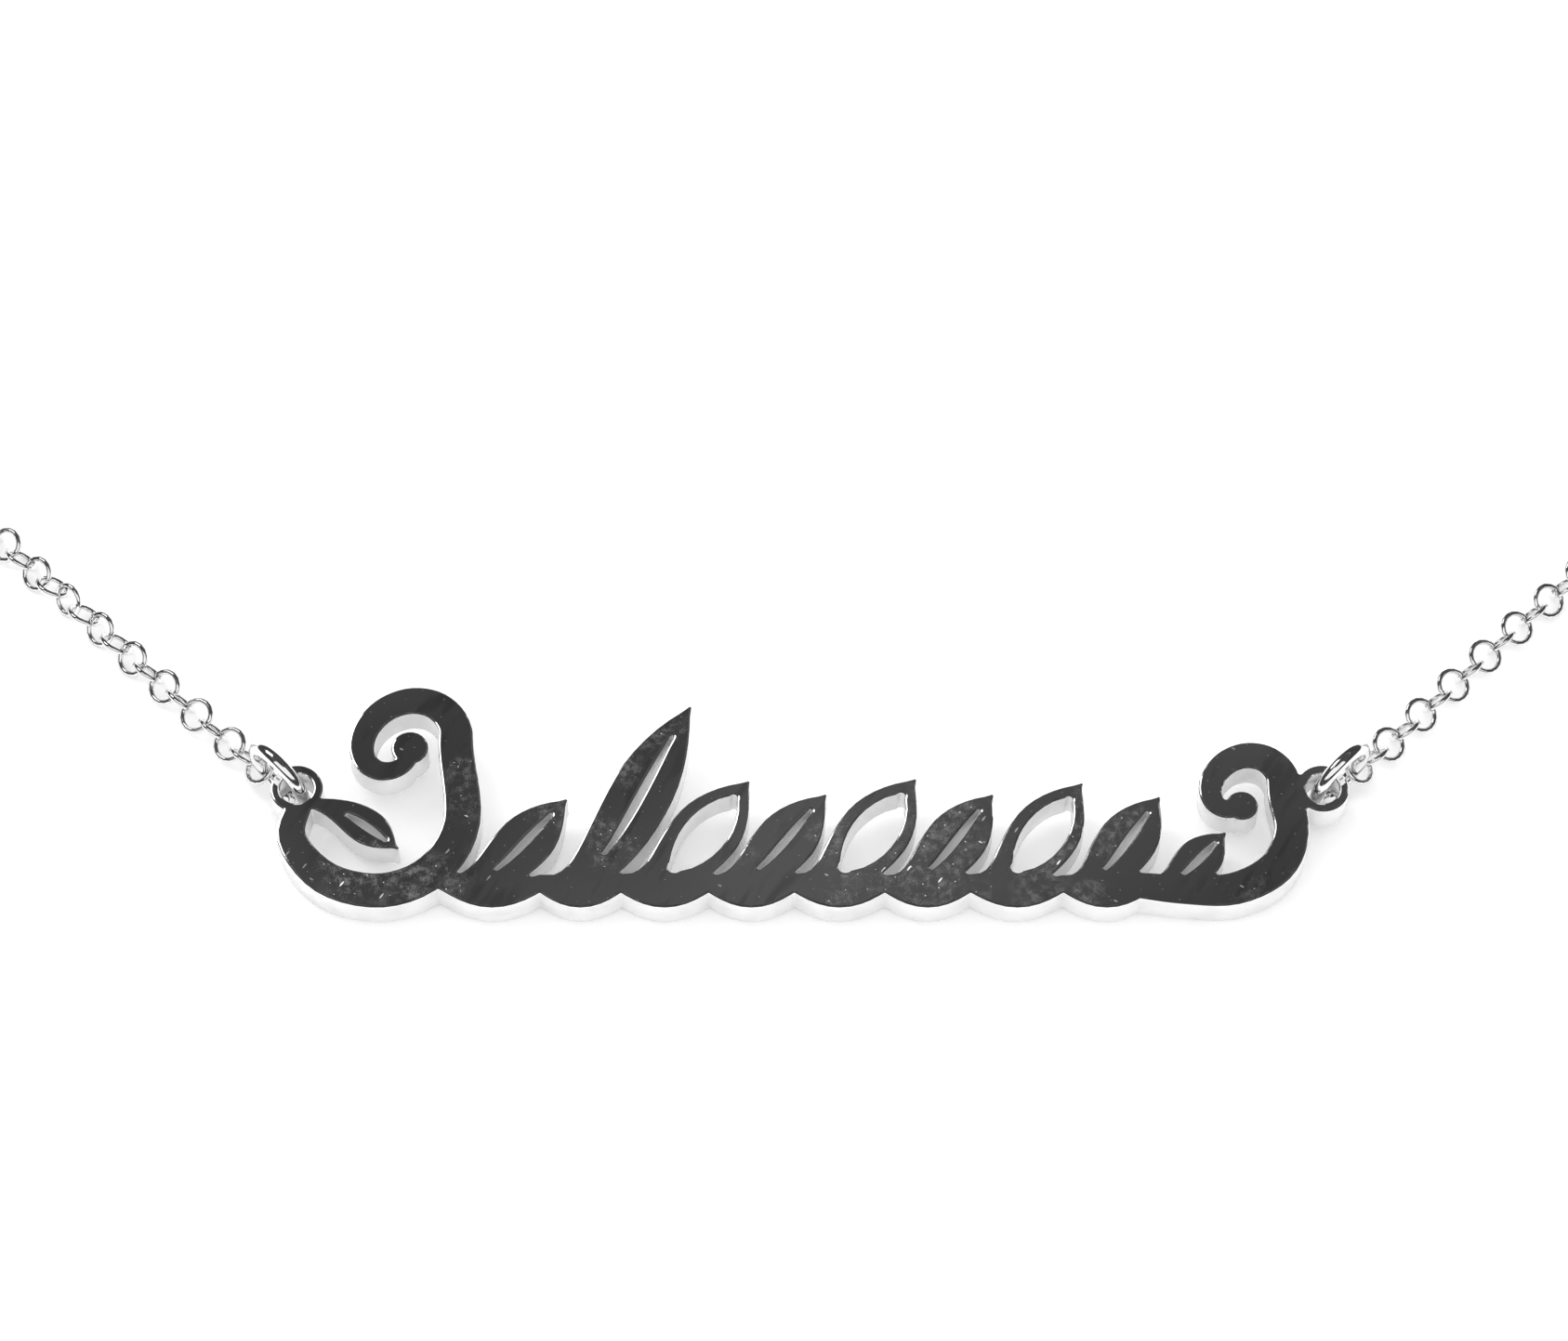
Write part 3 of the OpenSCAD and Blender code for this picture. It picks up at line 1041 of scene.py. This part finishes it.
@dataclass(frozen=True)
class Studio:
    """White sweep, bright tent with dark flags in it, and the camera."""

    layout: Layout
    elevation: float = math.radians(53.08)
    lens: float = 130.0
    sensor: float = 36.0
    picture: Tuple[int, int] = (1687, 1443)
    eyes_at: Tuple[float, float] = (871.0, 848.0)
    px_per_mm: float = 24.0
    floor_size: float = 6.0
    floor_fleck: float = 1.6
    floor_white: Tuple[float, float] = (0.89, 0.92)
    floor_rough: float = 0.75
    floor_glow: float = 0.175
    tent: float = 1.1
    key_place: Tuple[float, float, float] = (-0.22, 0.10, 0.34)
    key_size: float = 0.2
    key_power: float = 0.3
    flags: Tuple[Flag, ...] = ()

    def camera(self) -> None:
        """Camera at the photograph's angle, with the plate's eyes where they are in it."""
        tilt = self.layout.plate_tilt
        toward = Vector((0, -math.cos(self.elevation), math.sin(self.elevation)))
        upward = Vector((0, math.sin(self.elevation), math.cos(self.elevation)))
        eyes = Vector(
            (
                0,
                -self.layout.middle_y - self.layout.plate_t * math.sin(tilt),
                self.layout.plate_rise + self.layout.plate_t * math.cos(tilt),
            )
        )
        aside = (self.picture[0] / 2 - self.eyes_at[0]) / self.px_per_mm
        above = (self.eyes_at[1] - self.picture[1] / 2) / self.px_per_mm
        aim = eyes + Vector((aside, 0, 0)) + above * upward
        away = self.picture[0] / self.px_per_mm * self.lens / self.sensor
        data = bpy.data.cameras.new("camera")
        data.lens, data.sensor_width, data.sensor_fit = self.lens, self.sensor, "HORIZONTAL"
        data.clip_start, data.clip_end = 0.01, 20.0
        camera = bpy.data.objects.new("camera", data)
        camera.location = (aim + away * toward) * MM
        camera.rotation_euler = (math.pi / 2 - self.elevation, 0, 0)
        bpy.context.scene.collection.objects.link(camera)
        bpy.context.scene.camera = camera

    def floor(self) -> None:
        """Plain white surface under the necklace."""
        material, shader = new_material("white_sweep")
        place = shader.node("ShaderNodeTexCoord", {}, {}, out="Object")
        fleck = shader.noise(place, self.floor_fleck, detail=3)
        colour = shader.blend(fleck, *[grey(level) for level in self.floor_white])
        sockets = {"Base Color": colour, "Roughness": self.floor_rough, "Specular IOR Level": 0.1}
        sockets.update({"Emission Color": grey(1.0), "Emission Strength": self.floor_glow})
        surface = shader.node("ShaderNodeBsdfPrincipled", {}, sockets)
        shader.node("ShaderNodeOutputMaterial", {}, {"Surface": surface})
        bm = bmesh.new()
        bmesh.ops.create_grid(bm, x_segments=8, y_segments=8, size=self.floor_size / MM / 2)
        finish_mesh("floor", bm, [material])

    def world(self) -> None:
        """Even bright tent all round."""
        world = bpy.data.worlds.new("tent")
        world.use_nodes = True
        shader = Shader(world.node_tree)
        light = shader.node("ShaderNodeBackground", {}, {"Color": grey(1.0), "Strength": self.tent})
        shader.node("ShaderNodeOutputWorld", {}, {"Surface": light})
        bpy.context.scene.world = world

    def key(self) -> None:
        """Small soft lamp from above the left side, aimed at the plate."""
        data = bpy.data.lights.new("key", "AREA")
        data.shape, data.size, data.energy = "SQUARE", self.key_size, self.key_power
        lamp = bpy.data.objects.new("key", data)
        lamp.location = self.key_place
        aim = Vector((0, -self.layout.middle_y * MM, 0)) - Vector(self.key_place)
        lamp.rotation_euler = aim.to_track_quat("-Z", "Y").to_euler()
        bpy.context.scene.collection.objects.link(lamp)

    def build(self) -> None:
        """Sets up camera, floor, tent, flags and lamp."""
        self.camera()
        self.floor()
        self.world()
        for flag in self.flags:
            flag.build(Vector((0, -self.layout.middle_y, 0)))
        self.key()
        bpy.context.scene.view_settings.view_transform = "Standard"


# Turn is in degrees round Z from the camera's side, climb in degrees above the surface.
FLAGS = (
    Flag("flag_overhead", (62, 298), (50, 89.5), 0.073),
    Flag("flag_zenith", (-62, 62), (70, 89.5), 0.073),
    Flag("flag_back", (62, 298), (3, 49.5), 0.06),
    Flag("flag_front", (-62, 62), (3, 26), 0.06),
)


def main() -> None:
    """Builds the studio, then each sub-assembly."""
    logging.basicConfig(level=logging.INFO, format="%(name)s: %(message)s")
    layout = Layout()
    Studio(layout, flags=FLAGS).build()
    ring_metal = WireFinish(rough=0.09).material("ring_wire")
    link_metal = WireFinish(rough=0.1, rub=0.35).material("link_wire")
    clasp_metal = WireFinish(rough=0.08, rub=1.2).material("cast_clasp")
    built = [Nameplate(layout).build(), Clasp(clasp_metal).build()]
    for side in Side:
        jump = Vector((side.value * layout.jump_middle.x, layout.jump_middle.y - layout.middle_y))
        end = Vector((side.value * layout.clasp_half, layout.clasp_y - layout.middle_y))
        away = side.value * layout.leave_angle
        built += [
            WireRing(
                layout.jump_ring, f"jump_ring_{side.word}", jump, away, layout.ring_lean, ring_metal
            ).build(),
            ChainSide(layout, side, link_metal).build(),
            WireRing(layout.end_ring, f"clasp_ring_{side.word}", end, 0.0, 0.0, ring_metal).build(),
        ]
    for piece in built:
        stands_for = ", ".join(piece["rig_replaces"])
        LOG.info("%s: %d faces, stands for %s", piece.name, len(piece.data.polygons), stands_for)


if __name__ == "__main__":
    main()
